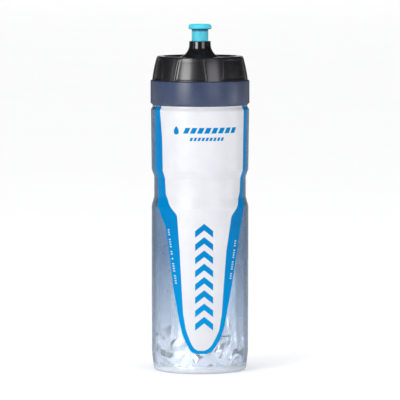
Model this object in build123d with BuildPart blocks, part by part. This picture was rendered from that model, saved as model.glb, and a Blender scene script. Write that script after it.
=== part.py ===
from build123d import *
import os
from math import pi, radians, tan

# Double-walled cycling bottle with a push-pull valve, in millimetres.
# The origin is the centre of the base, +Z runs up the bottle and -Y is its printed front.
# An inner bottle hangs by its flange on the outer shell's rim, with an air gap and a
# reflective film between the two walls, and the neck collar snaps over both.

# ---- outer shell ----
body_radius = 36.0       # the straight lower body, the size a bottle cage holds
shell_wall = 1.2
heel_inset = 1.8         # body radius less the radius where the tapered heel meets the ground
heel_height = 14.5       # top of the tapered heel
heel_fillet = 3.2
foot_width = 5.4         # ring that the bottle stands on, before its outer edge is rounded
dome_height = 3.0        # how far the base is pushed up inside that ring
dome_slope = 2.0         # radial run of the slope from the ring up to the dome
dome_shift = 0.7         # how far that slope moves out inside, for each millimetre of wall
lower_height = 123.0     # base to the start of the waist
waist_depth = 1.9        # the groove that the cage's tab drops into
waist_lead_in = 6.6
waist_height = 15.2
waist_lead_out = 5.4
upper_height = 44.4
upper_flare = 0.6        # how much wider the upper body is at its top than the lower body
shoulder_drop = 2.2      # height of the slope from the upper body into the neck groove
groove_depth = 1.35      # upper body to the floor of the neck groove
groove_width = 1.6       # from that slope to the collar's bottom edge
waist_round = 3.0        # rounding of the waist's corners
waist_round_low = 6.0    # the softer corner where the lower body meets the waist
heel_blend = 20.0        # rounding where the heel's taper meets the body
shoulder_round = 1.2
groove_round = 0.8

# ---- neck collar ----
collar_height = 17.9
collar_wall = 1.4
collar_fit = 0.15        # radial clearance over the shell's neck
collar_deck = 2.6        # thickness of the inward deck that clamps the flange
collar_chamfer = 1.25    # at its bottom edge
collar_round = 0.5       # at its top edge
snap_bead = 0.45         # height of the shell's snap bead
snap_reach = 0.9         # half of its width
snap_rise = 7.4          # bead centre above the collar's bottom edge
snap_clearance = 0.15

# ---- inner bottle ----
air_gap = 1.9            # waist wall to inner bottle
inner_wall = 1.0
inner_heel = 6.0         # rounding of its bottom edge
inner_dome = 4.0         # push-up of its base
flange_height = 2.2
flange_fit = 0.15        # flange inside the collar
neck_step = 0.7          # inner body radius to neck radius
neck_step_run = 5.0      # height of that step, and of the straight part over it
neck_wall = 1.4
neck_lip = 1.6           # plain neck above its thread

# ---- reflective film ----
film = 0.25
film_gap = 0.1           # between the film and the wall it is wrapped round
film_cup_height = 15.0   # how far the crumpled base film climbs the sides
film_cup_gap = 0.4       # between the sleeve and the base film
film_cup_lean = 2.5      # height and run of the slope between its floor and its side

# ---- screw thread ----
thread_lead = 6.0        # one start, right-handed: lift for one full turn of the cap
thread_depth = 1.3
thread_clearance = 0.4   # crest to facing wall
thread_play = 0.5        # axial, flank to flank
thread_flank = 30.0      # degrees
neck_thread_turns = 1.25
cap_thread_turns = 1.1
root_sink = 0.3          # how far a thread's root is buried in its wall
thread_start = 2.9       # centre of the neck thread's start above the collar
thread_margin = 0.4      # the cap's thread above its bottom edge, and its bore past the neck's

# ---- cap ----
cap_gap = 0.2            # cap's bottom edge above the collar
cap_wall = 3.6           # at the bottom edge
cap_taper = 3.7          # bottom radius minus top radius
cap_belly = 0.55         # bulge of the flank beyond a straight cone
roof_thickness = 1.8
dish_depth = 1.1
rim_width = 4.2          # crest's flat ring
rim_fillet = 0.9
dish_fillet = 0.6
gasket_thickness = 1.5
gasket_width = 2.65
gasket_fit = 0.05
plug_gap = 0.6           # locating ring inside the neck
plug_wall = 1.2
plug_depth = 3.0         # how far that ring reaches into the neck
grip_count = 6
grip_phase = -10.5       # degrees from the front to the first wide grip face
grip_angle_low = 39.0    # width of a wide grip face at its bottom, degrees
grip_angle_high = 33.0   # and at its top
grip_depth = 0.35
grip_margin_low = 1.0
grip_margin_high = 1.6

# ---- spout and valve ----
spout_wall = 1.87        # round the stop's mouth
spout_height = 12.1      # above the dish
spout_flare = 9.0        # concave sweep from the dish to the spout
spout_draft = 0.35
spout_round = 0.5        # at its mouth
valve_travel = 5.5
valve_fit = 0.08         # radial running clearance in the spout
stop_thickness = 2.0     # lip at the spout's mouth that stops the valve
stop_catch = 0.45        # how far the retaining bead stands out under that lip
shank_radius = 6.2
shank_wall = 0.9         # soft skin of the mouthpiece
shank_visible = 8.1      # shank between the closed spout and the lip
lip_overhang = 2.45      # lip beyond the shank
lip_thickness = 4.6
lip_round_top = 2.1
lip_round_bottom = 1.0
lip_root_round = 0.5     # between shank and lip
hole_round = 0.4         # at the mouth of its hole
core_wall = 0.8
bead_height = 1.8        # retaining bead at the foot of the valve core
bead_chamfer = 0.4
core_gap = 0.3           # core's foot above the spider when closed
spider_thickness = 2.2
spider_arms = 4
arm_width = 1.8
arm_sink = 0.3           # how far an arm's end is buried in the spout
window_step = 0.7        # spout's bore to the water way's
window_flare = 3.3       # how much wider the water way is at the roof's underside
post_radius = 1.8
plug_head_radius = 2.5   # head of the post, which closes the mouthpiece's hole
plug_head_height = 3.0
plug_head_recess = 1.0   # head's top below the lip's top when closed
plug_head_chamfer = 0.5
plug_fit = 0.05

# ---- thread section ----
thread_mid_width = thread_lead / 2 - thread_play
flank_run = thread_depth / 2 * tan(radians(thread_flank))
thread_root_half = thread_mid_width / 2 + flank_run
thread_crest_half = thread_mid_width / 2 - flank_run

# ---- levels, from the ground up ----
waist_bottom = lower_height + waist_lead_in
waist_top = waist_bottom + waist_height
upper_bottom = waist_top + waist_lead_out
shoulder_z = upper_bottom + upper_height
groove_z = shoulder_z + shoulder_drop
collar_bottom = groove_z + groove_width
collar_top = collar_bottom + collar_height
flange_top = collar_top - collar_deck
shell_top = flange_top - flange_height
cap_bottom = collar_top + cap_gap
neck_thread_z = collar_top + thread_start
neck_thread_top = neck_thread_z + neck_thread_turns * thread_lead + thread_root_half
neck_top = neck_thread_top + neck_lip
roof_under = neck_top + gasket_thickness
dish_z = roof_under + roof_thickness
crest_z = dish_z + dish_depth
spout_top = dish_z + spout_height
lip_bottom = spout_top + shank_visible
lip_top = lip_bottom + lip_thickness
stop_under = spout_top - stop_thickness
bead_top = stop_under - valve_travel
core_bottom = bead_top - bead_height
spider_top = core_bottom - core_gap
spider_under = spider_top - spider_thickness
head_top = lip_top - plug_head_recess
gasket_step = neck_thread_top + thread_margin   # the cap's bore narrows above the neck's thread
# The cap's thread runs half a lead below the neck's, so it starts later round the same helix.
cap_thread_z = cap_bottom + thread_root_half + thread_margin
cap_thread_turn = (cap_thread_z - neck_thread_z + thread_lead / 2) / thread_lead

# ---- radii that follow from the fits ----
heel_radius = body_radius - heel_inset
foot_radius = heel_radius - foot_width
waist_radius = body_radius - waist_depth
upper_radius = body_radius + upper_flare
shell_neck_radius = upper_radius - groove_depth
collar_bore = shell_neck_radius + collar_fit
collar_radius = collar_bore + collar_wall
flange_radius = collar_bore - flange_fit
inner_radius = waist_radius - shell_wall - air_gap
neck_radius = inner_radius - neck_step
neck_bore = neck_radius - neck_wall
thread_crest = neck_radius + thread_depth
cap_bore = thread_crest + thread_clearance
cap_thread_crest = cap_bore - thread_depth
cap_radius = cap_bore + cap_wall
cap_top_radius = cap_radius - cap_taper
plug_radius = neck_bore - plug_gap
gasket_bore = plug_radius + gasket_fit
gasket_radius = gasket_bore + gasket_width
valve_bore = shank_radius + stop_catch + valve_fit
stop_bore = shank_radius + valve_fit
spout_radius = stop_bore + spout_wall
lip_radius = shank_radius + lip_overhang
core_radius = shank_radius - shank_wall
core_bore = core_radius - core_wall
mouth_hole = plug_head_radius + plug_fit
dish_radius = cap_top_radius - rim_width
same_radius = 0.01       # how near two radii are when they count as one


def round_corners(corners):
    """Fillets the open sketch's corner nearest each point."""
    for point, radius in corners:
        fillet(vertices().sort_by_distance(point)[0], radius)


def rings(radius):
    """The open part's round edges of a radius, from the lowest up."""
    round_edges = edges().filter_by(GeomType.CIRCLE)
    return round_edges.filter_by(lambda e: abs(e.radius - radius) < same_radius).sort_by(Axis.Z)


def thread_section(root, crest):
    """Half-open trapezoid of a thread, from its buried root to its crest, as corner points."""
    mid = (root + crest) / 2
    sink = root - root_sink if crest > root else root + root_sink
    return [
        (sink - mid, thread_root_half),
        (root - mid, thread_root_half),
        (crest - mid, thread_crest_half),
        (crest - mid, -thread_crest_half),
        (root - mid, -thread_root_half),
        (sink - mid, -thread_root_half),
    ]


def shell_outline(inset):
    """Half outline of the outer shell from its base to its rim, moved in by a wall."""
    floor = dome_height + inset
    dome_edge = foot_radius - dome_slope + inset * dome_shift
    Polyline(
        (0, floor),
        (dome_edge, floor),
        (foot_radius + inset * dome_shift, inset),
        (heel_radius - inset, inset),
        (body_radius - inset, heel_height),
        (body_radius - inset, lower_height),
        (waist_radius - inset, waist_bottom),
        (waist_radius - inset, waist_top),
        (body_radius - inset, upper_bottom),
        (upper_radius - inset, shoulder_z),
        (shell_neck_radius - inset, groove_z),
        (shell_neck_radius - inset, shell_top),
        (0, shell_top),
        close=True,
    )


def soften_shell(inset):
    """Rounds the shell's heel, waist and shoulder."""
    round_corners([
        ((heel_radius - inset, inset), heel_fillet - inset),
        ((body_radius - inset, heel_height), heel_blend),
        ((body_radius - inset, lower_height), waist_round_low),
        ((waist_radius - inset, waist_bottom), waist_round),
        ((waist_radius - inset, waist_top), waist_round),
        ((body_radius - inset, upper_bottom), waist_round),
        ((upper_radius - inset, shoulder_z), shoulder_round),
        ((shell_neck_radius - inset, groove_z), groove_round),
    ])


# ======================= outer shell =======================
with BuildPart() as outer_shell:
    with BuildSketch(Plane.XZ):
        with BuildLine():
            shell_outline(0)
        make_face()
        soften_shell(0)
    revolve(axis=Axis.Z)
    with BuildSketch(Plane.XZ):
        with BuildLine():
            shell_outline(shell_wall)
        make_face()
        soften_shell(shell_wall)
    revolve(axis=Axis.Z, mode=Mode.SUBTRACT)
    # snap bead for the collar, a low ridge with sloping sides
    with BuildSketch(Plane.XZ):
        with BuildLine():
            bead_z = collar_bottom + snap_rise
            Polyline(
                (shell_neck_radius - shell_wall / 2, bead_z - snap_reach),
                (shell_neck_radius, bead_z - snap_reach),
                (shell_neck_radius + snap_bead, bead_z - snap_bead / 2),
                (shell_neck_radius + snap_bead, bead_z + snap_bead / 2),
                (shell_neck_radius, bead_z + snap_reach),
                (shell_neck_radius - shell_wall / 2, bead_z + snap_reach),
                close=True,
            )
        make_face()
    revolve(axis=Axis.Z)
outer_shell.part.label = "outer_shell"

# ======================= film under the inner bottle =======================
film_floor = dome_height + shell_wall
sleeve_bore = inner_radius + film_gap
sleeve_radius = sleeve_bore + film
cup_bore = sleeve_radius + film_cup_gap
cup_floor = 2 * film
inner_bottom = film_floor + cup_floor

with BuildPart() as foil_base:
    # a cup: its floor lies on the dome, and its side leans out and climbs the sleeve's foot
    with BuildSketch(Plane.XZ):
        with BuildLine():
            side_foot = inner_radius - film_cup_lean
            side_knee = film_floor + film_cup_lean
            side_top = film_floor + film_cup_height
            Polyline(
                (0, film_floor),
                (side_foot + film, film_floor),
                (cup_bore + film, side_knee),
                (cup_bore + film, side_top),
                (cup_bore, side_top),
                (cup_bore, side_knee),
                (side_foot, inner_bottom),
                (0, inner_bottom),
                close=True,
            )
        make_face()
    revolve(axis=Axis.Z)
foil_base.part.label = "foil_base"

# ======================= inner bottle =======================
inner_foot = inner_radius - inner_heel
step_top = shell_top - neck_step_run
step_bottom = step_top - neck_step_run


def inner_outline(inset):
    """Half outline of the inner bottle from its base to its mouth, moved in by a wall."""
    neck = neck_bore if inset else neck_radius
    Polyline(
        (0, inner_bottom + inner_dome + inset),
        (inner_foot - inner_dome, inner_bottom + inner_dome + inset),
        (inner_foot, inner_bottom + inset),
        (inner_radius - inset, inner_bottom + inset),
        (inner_radius - inset, step_bottom),
        (neck, step_top),
        (neck, neck_top),
        (0, neck_top),
        close=True,
    )


with BuildPart() as inner_bottle:
    with BuildSketch(Plane.XZ):
        with BuildLine():
            inner_outline(0)
        make_face()
        round_corners([((inner_radius, inner_bottom), inner_heel)])
    revolve(axis=Axis.Z)
    with BuildSketch(Plane.XY.offset(shell_top)):
        Circle(flange_radius)
    extrude(amount=flange_height)
    with BuildLine(Plane.XY.offset(neck_thread_z)) as neck_helix:
        Helix(thread_lead, neck_thread_turns * thread_lead, (neck_radius + thread_crest) / 2)
    with BuildSketch(Plane(neck_helix.line @ 0, x_dir=(1, 0, 0), z_dir=neck_helix.line % 0)):
        with BuildLine():
            Polyline(*thread_section(neck_radius, thread_crest), close=True)
        make_face()
    sweep(path=neck_helix.line, is_frenet=True)
    with BuildSketch(Plane.XZ):
        with BuildLine():
            inner_outline(inner_wall)
        make_face()
        inside_heel = (inner_radius - inner_wall, inner_bottom + inner_wall)
        round_corners([(inside_heel, inner_heel - inner_wall)])
    revolve(axis=Axis.Z, mode=Mode.SUBTRACT)
inner_bottle.part.label = "inner_bottle"

# ======================= reflective sleeve =======================
sleeve_bottom = inner_bottom + inner_heel
with BuildPart() as foil_sleeve:
    with BuildSketch(Plane.XY.offset(sleeve_bottom)):
        Circle(sleeve_radius)
        Circle(sleeve_bore, mode=Mode.SUBTRACT)
    extrude(amount=step_bottom - sleeve_bottom)
foil_sleeve.part.label = "foil_sleeve"

# ======================= neck collar =======================
deck_bore = cap_bore
with BuildPart() as neck_collar:
    with BuildSketch(Plane.XY.offset(collar_bottom)):
        Circle(collar_radius)
        Circle(collar_bore, mode=Mode.SUBTRACT)
    extrude(amount=collar_height)
    with BuildSketch(Plane.XY.offset(flange_top)):
        Circle(collar_radius - collar_wall / 2)
        Circle(deck_bore, mode=Mode.SUBTRACT)
    extrude(amount=collar_deck)
    chamfer(rings(collar_radius)[0], length=collar_chamfer)
    fillet(rings(collar_radius)[-1], collar_round)
    # groove that the shell's bead snaps into
    with BuildSketch(Plane.XZ):
        with BuildLine():
            groove_mid = collar_bottom + snap_rise
            groove_half = snap_reach + snap_clearance
            groove_floor = shell_neck_radius + snap_bead + snap_clearance
            Polyline(
                (collar_bore - collar_fit / 2, groove_mid - groove_half),
                (collar_bore, groove_mid - groove_half),
                (groove_floor, groove_mid - snap_bead),
                (groove_floor, groove_mid + snap_bead),
                (collar_bore, groove_mid + groove_half),
                (collar_bore - collar_fit / 2, groove_mid + groove_half),
                close=True,
            )
        make_face()
    revolve(axis=Axis.Z, mode=Mode.SUBTRACT)
neck_collar.part.label = "neck_collar"

# ======================= cap =======================
flank_mid = ((cap_radius + cap_top_radius) / 2 + cap_belly, (cap_bottom + crest_z) / 2)


def flank(inset):
    """The cap's bulging side, moved in by a depth."""
    return ThreePointArc(
        (cap_radius - inset, cap_bottom),
        (flank_mid[0] - inset, flank_mid[1]),
        (cap_top_radius - inset, crest_z),
    )


# One wide grip face, as the tool that cuts it: a slice between slanting sides, no deeper
# than the grip's depth, facing the front.
with BuildPart() as grip_tool:
    with BuildSketch(Plane.XZ):
        with BuildLine():
            side = flank(grip_depth)
            Polyline(side @ 1, (2 * cap_radius, crest_z), (2 * cap_radius, cap_bottom), side @ 0)
        make_face()
    revolve(axis=Axis.Z)
    grip_low = cap_bottom + grip_margin_low
    grip_high = crest_z - grip_margin_high
    low_half = cap_radius * tan(radians(grip_angle_low / 2))
    high_half = cap_top_radius * tan(radians(grip_angle_high / 2))
    with BuildSketch(Plane.XZ):
        with BuildLine():
            Polyline(
                (-low_half, grip_low),
                (low_half, grip_low),
                (high_half, grip_high),
                (-high_half, grip_high),
                close=True,
            )
        make_face()
    extrude(amount=2 * cap_radius, mode=Mode.INTERSECT)

# The cap's thread by itself, starting on the X axis at ground level.
with BuildPart() as cap_thread:
    with BuildLine() as cap_helix:
        Helix(thread_lead, cap_thread_turns * thread_lead, (cap_bore + cap_thread_crest) / 2)
    with BuildSketch(Plane(cap_helix.line @ 0, x_dir=(1, 0, 0), z_dir=cap_helix.line % 0)):
        with BuildLine():
            Polyline(*thread_section(cap_bore, cap_thread_crest), close=True)
        make_face()
    sweep(path=cap_helix.line, is_frenet=True)

with BuildPart() as cap:
    with BuildSketch(Plane.XZ):
        with BuildLine():
            side = flank(0)
            spout_foot = (spout_radius + spout_draft, dish_z)
            Polyline(
                side @ 1,
                (dish_radius, crest_z),
                (dish_radius - dish_depth, dish_z),
                spout_foot,
                (spout_radius, spout_top),
                (0, spout_top),
                (0, cap_bottom),
                side @ 0,
            )
        make_face()
        round_corners([
            (side @ 1, rim_fillet),
            ((dish_radius, crest_z), rim_fillet),
            ((dish_radius - dish_depth, dish_z), dish_fillet),
            (spout_foot, spout_flare),
            ((spout_radius, spout_top), spout_round),
        ])
    revolve(axis=Axis.Z)
    with PolarLocations(0, grip_count, start_angle=grip_phase):
        add(grip_tool.part, mode=Mode.SUBTRACT)
    # the bore over the neck, narrowing to the gasket's seat and the locating ring
    with BuildSketch(Plane.XY.offset(cap_bottom)):
        Circle(cap_bore)
    extrude(amount=gasket_step - cap_bottom, mode=Mode.SUBTRACT)
    with BuildSketch(Plane.XY.offset(gasket_step)):
        Circle(gasket_radius + gasket_fit)
    extrude(amount=roof_under - gasket_step, mode=Mode.SUBTRACT)
    with BuildSketch(Plane.XY.offset(neck_top - plug_depth)):
        Circle(plug_radius)
        Circle(plug_radius - plug_wall, mode=Mode.SUBTRACT)
    extrude(amount=roof_under - neck_top + plug_depth)
    # thread, turned round to start where it runs half a lead below the neck's
    with Locations(Location((0, 0, cap_thread_z), (0, 0, 360 * cap_thread_turn))):
        add(cap_thread.part)
    # valve bore in the spout, with the stop lip at its mouth
    with BuildSketch(Plane.XY.offset(spider_top)):
        Circle(valve_bore)
    extrude(amount=stop_under - spider_top, mode=Mode.SUBTRACT)
    with BuildSketch(Plane.XY.offset(stop_under)):
        Circle(stop_bore)
    extrude(amount=stop_thickness, mode=Mode.SUBTRACT)
    # water way: a flared hole in the roof, crossed by the spider that carries the post
    window_radius = valve_bore - window_step
    with BuildSketch(Plane.XZ):
        with BuildLine():
            Polyline(
                (0, roof_under),
                (window_radius + window_flare, roof_under),
                (window_radius, spider_under),
                (window_radius, spider_top),
                (0, spider_top),
                close=True,
            )
        make_face()
    revolve(axis=Axis.Z, mode=Mode.SUBTRACT)
    with BuildSketch(Plane.XY.offset(spider_under)):
        with PolarLocations(0, spider_arms // 2):
            Rectangle(2 * (window_radius + arm_sink), arm_width)
    extrude(amount=spider_thickness)
    with BuildSketch(Plane.XY.offset(spider_under)):
        Circle(post_radius)
    extrude(amount=head_top - plug_head_height - spider_under)
    with BuildSketch(Plane.XY.offset(head_top - plug_head_height)):
        Circle(plug_head_radius)
    extrude(amount=plug_head_height)
    head_edge = faces().filter_by(Plane.XY).sort_by(Axis.Z)[-1].edges()
    chamfer(head_edge, length=plug_head_chamfer)
cap.part.label = "cap"

# ======================= gasket =======================
with BuildPart() as cap_gasket:
    with BuildSketch(Plane.XY.offset(neck_top)):
        Circle(gasket_radius)
        Circle(gasket_bore, mode=Mode.SUBTRACT)
    extrude(amount=gasket_thickness)
cap_gasket.part.label = "cap_gasket"

# ======================= valve =======================
with BuildPart() as valve_core:
    with BuildSketch(Plane.XY.offset(core_bottom)):
        Circle(core_radius)
        Circle(core_bore, mode=Mode.SUBTRACT)
    extrude(amount=lip_bottom - core_bottom)
    with BuildSketch(Plane.XY.offset(core_bottom)):
        Circle(valve_bore - valve_fit)
        Circle(core_bore, mode=Mode.SUBTRACT)
    extrude(amount=bead_height)
    chamfer(rings(valve_bore - valve_fit)[0], length=bead_chamfer)
valve_core.part.label = "valve_core"

with BuildPart() as mouthpiece:
    with BuildSketch(Plane.XZ):
        with BuildLine():
            Polyline(
                (core_radius, bead_top),
                (shank_radius, bead_top),
                (shank_radius, lip_bottom),
                (lip_radius, lip_bottom),
                (lip_radius, lip_top),
                (mouth_hole, lip_top),
                (mouth_hole, lip_bottom),
                (core_radius, lip_bottom),
                close=True,
            )
        make_face()
        round_corners([
            ((shank_radius, lip_bottom), lip_root_round),
            ((lip_radius, lip_bottom), lip_round_bottom),
            ((lip_radius, lip_top), lip_round_top),
            ((mouth_hole, lip_top), hole_round),
        ])
    revolve(axis=Axis.Z)
mouthpiece.part.label = "mouthpiece"

# ======================= export =======================
os.makedirs("parts", exist_ok=True)
pieces = [
    outer_shell,
    foil_base,
    foil_sleeve,
    inner_bottle,
    neck_collar,
    cap,
    cap_gasket,
    valve_core,
    mouthpiece,
]
for piece in pieces:
    export_step(piece.part, f"parts/{piece.part.label}.step")
print(f"cap_turn axis 0,0,1 lift ratio {thread_lead / (2 * pi):.6f} mm per radian")
print(f"valve travel {valve_travel} mm, height {lip_top:.2f} mm")
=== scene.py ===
import math

import bpy
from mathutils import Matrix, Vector, noise


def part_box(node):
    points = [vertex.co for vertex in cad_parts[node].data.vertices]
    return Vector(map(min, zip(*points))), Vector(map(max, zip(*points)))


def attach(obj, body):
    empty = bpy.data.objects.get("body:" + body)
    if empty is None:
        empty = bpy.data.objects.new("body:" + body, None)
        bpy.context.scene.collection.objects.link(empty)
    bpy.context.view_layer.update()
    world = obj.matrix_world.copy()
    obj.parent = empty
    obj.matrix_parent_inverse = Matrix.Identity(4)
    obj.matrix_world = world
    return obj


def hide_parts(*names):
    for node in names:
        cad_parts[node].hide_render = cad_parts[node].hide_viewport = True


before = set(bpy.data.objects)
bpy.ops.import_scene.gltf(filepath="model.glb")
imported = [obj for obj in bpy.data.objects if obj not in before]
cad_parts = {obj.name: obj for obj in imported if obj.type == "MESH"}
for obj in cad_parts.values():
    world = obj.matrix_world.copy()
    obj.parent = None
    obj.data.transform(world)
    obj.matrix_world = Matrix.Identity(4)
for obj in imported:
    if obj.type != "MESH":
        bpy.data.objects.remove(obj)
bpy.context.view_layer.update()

# Insulated cycling bottle: a clear outer wall printed in blue and white, a crumpled silver
# film round the inner bottle, a smoky neck collar, a black screw cap and a soft blue
# push-pull valve. Metres throughout, with MM for sizes given in millimetres.
MM = 0.001

# ================================================================ sizes


def top(node):
    """Height of a CAD node's highest point."""
    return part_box(node)[1].z


def foot(node):
    """Height of a CAD node's lowest point."""
    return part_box(node)[0].z


def reach(node):
    """Largest radius of a CAD node about the bottle's axis."""
    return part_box(node)[1].x


# outer wall, from the neck down
WALL = 1.2 * MM
SHELL_TOP = top("outer_shell")
UPPER_R = reach("outer_shell")
BODY_R = UPPER_R - 0.6 * MM
NECK_R = UPPER_R - 1.35 * MM
WAIST_R = BODY_R - 1.9 * MM
GROOVE_Z = foot("neck_collar") - 1.6 * MM
SHOULDER_Z = GROOVE_Z - 2.2 * MM
UPPER_Z = SHOULDER_Z - 44.4 * MM
WAIST_TOP = UPPER_Z - 5.4 * MM
WAIST_LOW = WAIST_TOP - 15.2 * MM
LOWER_TOP = WAIST_LOW - 6.6 * MM
HEEL_R, HEEL_Z = BODY_R - 1.8 * MM, 14.5 * MM
RING_R = HEEL_R - 5.4 * MM
DOME_Z, DOME_RUN = 3.0 * MM, 2.0 * MM

# print: thickness of a layer of ink, and from one layer's face to the next
INK, LAYER = 0.025 * MM, 0.032 * MM
BORDER_LAYER, PANEL_LAYER, MARK_LAYER = 1, 2, 3

# film
SLEEVE_R = reach("foil_sleeve")
SLEEVE_LOW, SLEEVE_TOP = foot("foil_sleeve"), top("foil_sleeve")
FILM_FLOOR = foot("foil_base")
FILM_CLEAR = 0.35 * MM                  # film to outer wall, at the nearest
FILM_OVERLAP = math.radians(13)         # how far the wound film runs past its own start

# collar
COLLAR_R = reach("neck_collar")
COLLAR_LOW, COLLAR_TOP = foot("neck_collar"), top("neck_collar")
COLLAR_BORE = COLLAR_R - 1.4 * MM
DECK_BORE, DECK_Z = 32.0 * MM, top("neck_collar") - 2.6 * MM

# cap
CAP_LOW, CAP_R = foot("cap"), reach("cap")
NECK_TOP, ROOF_UNDER = foot("cap_gasket"), top("cap_gasket")
DISH_Z = ROOF_UNDER + 1.8 * MM
CREST_Z = DISH_Z + 1.1 * MM
CREST_R = CAP_R - 3.7 * MM
CAP_BORE = CAP_R - 3.6 * MM
SEAT_R, SEAT_Z = 31.05 * MM, NECK_TOP - 1.2 * MM
RING_BORE, RING_OUT = 27.1 * MM, 28.3 * MM
SPOUT_TOP = DISH_Z + 12.1 * MM
SPOUT_R = 8.15 * MM
STOP_UNDER = SPOUT_TOP - 1.94 * MM      # just clear of the open valve's bead
STOP_R, VALVE_R, WAY_R = 6.28 * MM, 6.73 * MM, 6.03 * MM
SPIDER_TOP = foot("valve_core") - 0.3 * MM
SPIDER_LOW = SPIDER_TOP - 2.2 * MM
POST_TOP, POST_R = top("cap"), 1.8 * MM
PLUG_LOW, PLUG_R = POST_TOP - 3 * MM, 2.5 * MM
THREAD_LEAD = 6.0 * MM

# valve
SHANK_LOW, LIP_TOP = foot("mouthpiece"), top("mouthpiece")
LIP_R, SHANK_R, CORE_R, HOLE_R = reach("mouthpiece"), 6.2 * MM, 5.3 * MM, 2.55 * MM
LIP_LOW = LIP_TOP - 3.9 * MM

# ================================================================ mesh makers


def rounded(corners, steps=8):
    """Points of an outline of (radius, height, rounding) corners, with each rounding as an arc."""
    points = []
    for i, (r, z, rounding) in enumerate(corners):
        here = Vector((r, z))
        if rounding <= 0 or i in (0, len(corners) - 1):
            points.append(here)
            continue
        before = Vector(corners[i - 1][:2]) - here
        after = Vector(corners[i + 1][:2]) - here
        half = before.angle(after) / 2
        setback = min(rounding / math.tan(half), 0.76 * before.length, 0.76 * after.length)
        start, end = here + before.normalized() * setback, here + after.normalized() * setback
        to_centre = (before.normalized() + after.normalized()).normalized()
        centre = here + to_centre * setback / math.cos(half)
        spoke = start - centre
        turn = (end - centre).angle_signed(spoke)
        for k in range(steps + 1):
            a = turn * k / steps
            points.append(centre + Vector((
                spoke.x * math.cos(a) - spoke.y * math.sin(a),
                spoke.x * math.sin(a) + spoke.y * math.cos(a),
            )))
    return points


def add_piece(name, mesh_data, body, finish, replaces=(), sharp=35.0):
    """A new piece in its finish, smooth but for its sharp corners, riding on a body."""
    mesh = bpy.data.meshes.new(name)
    mesh.from_pydata(mesh_data[0], [], mesh_data[1])
    mesh.update()
    mesh.shade_smooth()
    mesh.set_sharp_from_angle(angle=math.radians(sharp))
    mesh.materials.append(finish)
    piece = bpy.data.objects.new(name, mesh)
    bpy.context.scene.collection.objects.link(piece)
    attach(piece, body)
    if replaces:
        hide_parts(*replaces)
    return piece


def at(angle, r, z):
    """The point at an angle round the bottle: 0 is the front, positive to its right."""
    return (r * math.sin(angle), -r * math.cos(angle), z)


def lathe(outline, turns=256, loop=False, shape=None):
    """Mesh of an outline turned about the axis, in a number of columns or at given angles.
    shape(angle, r, z) may move a point."""
    if isinstance(turns, int):
        turns = [2 * math.pi * k / turns for k in range(turns)]
    count = len(turns)
    verts, rings, faces = [], [], []
    for r, z in outline:
        if r < 1e-7:
            rings.append([len(verts)])
            verts.append((0.0, 0.0, z))
            continue
        rings.append(list(range(len(verts), len(verts) + count)))
        for a in turns:
            verts.append(at(*shape(a, r, z)) if shape else at(a, r, z))
    pairs = list(zip(rings, rings[1:]))
    if loop:
        pairs.append((rings[-1], rings[0]))
    for low, high in pairs:
        for k in range(count):
            n = (k + 1) % count
            if len(low) == 1:
                faces.append((low[0], high[n], high[k]))
            elif len(high) == 1:
                faces.append((low[k], low[n], high[0]))
            else:
                faces.append((low[k], low[n], high[n], high[k]))
    return verts, faces


def merged(*parts):
    """Several meshes' vertices and faces as one."""
    verts, faces = [], []
    for part_verts, part_faces in parts:
        start = len(verts)
        verts += part_verts
        faces += [tuple(i + start for i in face) for face in part_faces]
    return verts, faces


def ease(x, low=0.0, high=1.0):
    """A smooth step from 0 at low to 1 at high."""
    x = min(max((x - low) / (high - low), 0.0), 1.0)
    return x * x * (3 - 2 * x)


def between(points, x):
    """Straight-line value at x of points (x, value) in rising order."""
    if x <= points[0][0]:
        return points[0][1]
    for (x0, v0), (x1, v1) in zip(points, points[1:]):
        if x <= x1:
            return v0 + (v1 - v0) * (x - x0) / (x1 - x0)
    return points[-1][1]


# ================================================================ finishes


class Wiring:
    """Adds shader nodes to one tree."""

    def __init__(self, tree):
        self.tree = tree
        self.column = 0

    def put(self, kind, inputs=None, **settings):
        """A node with its settings and its inputs, each a value or another node's output."""
        prefix = "" if kind.startswith("NodeGroup") else "ShaderNode"
        node = self.tree.nodes.new(prefix + kind)
        self.column += 1
        node.location = (180 * self.column, 0)
        for key, value in settings.items():
            setattr(node, key, value)
        for key, value in (inputs or {}).items():
            self.join(value, node.inputs[key])
        return node

    def join(self, value, socket):
        """Sends another node's output, or a plain value, to a socket."""
        if isinstance(value, bpy.types.NodeSocket):
            self.tree.links.new(value, socket)
        else:
            socket.default_value = value

    def math(self, operation, a, b=0.0, clamp=False):
        """A sum, product or other calculation on two values."""
        node = self.put("Math", {0: a, 1: b}, operation=operation)
        node.use_clamp = clamp
        return node.outputs[0]

    def scaled(self, value, low, high, to_low, to_high):
        """A value carried from one range to another."""
        node = self.put("MapRange", {
            "Value": value, "From Min": low, "From Max": high,
            "To Min": to_low, "To Max": to_high,
        })
        return node.outputs["Result"]

    def up(self, low, high):
        """How far up the bottle a point is, from 0 at a low height to 1 at a high one."""
        spot = self.put("SeparateXYZ", {0: self.put("TexCoord").outputs["Object"]})
        return self.scaled(spot.outputs["Z"], low, high, 0.0, 1.0)

    def mix(self, factor, one, other, blend="MIX"):
        """One colour carried into another."""
        node = self.put("Mix", data_type="RGBA", blend_type=blend)
        for number, value in ((0, factor), (6, one), (7, other)):
            self.join(value, node.inputs[number])
        return node.outputs[2]

    def noise(self, where, scale, detail=3.0, roughness=0.5):
        """Soft random patches, from about 0.3 to 0.7."""
        node = self.put("TexNoise", {
            "Vector": where, "Scale": scale, "Detail": detail, "Roughness": roughness,
        })
        return node.outputs["Fac"]


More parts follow.
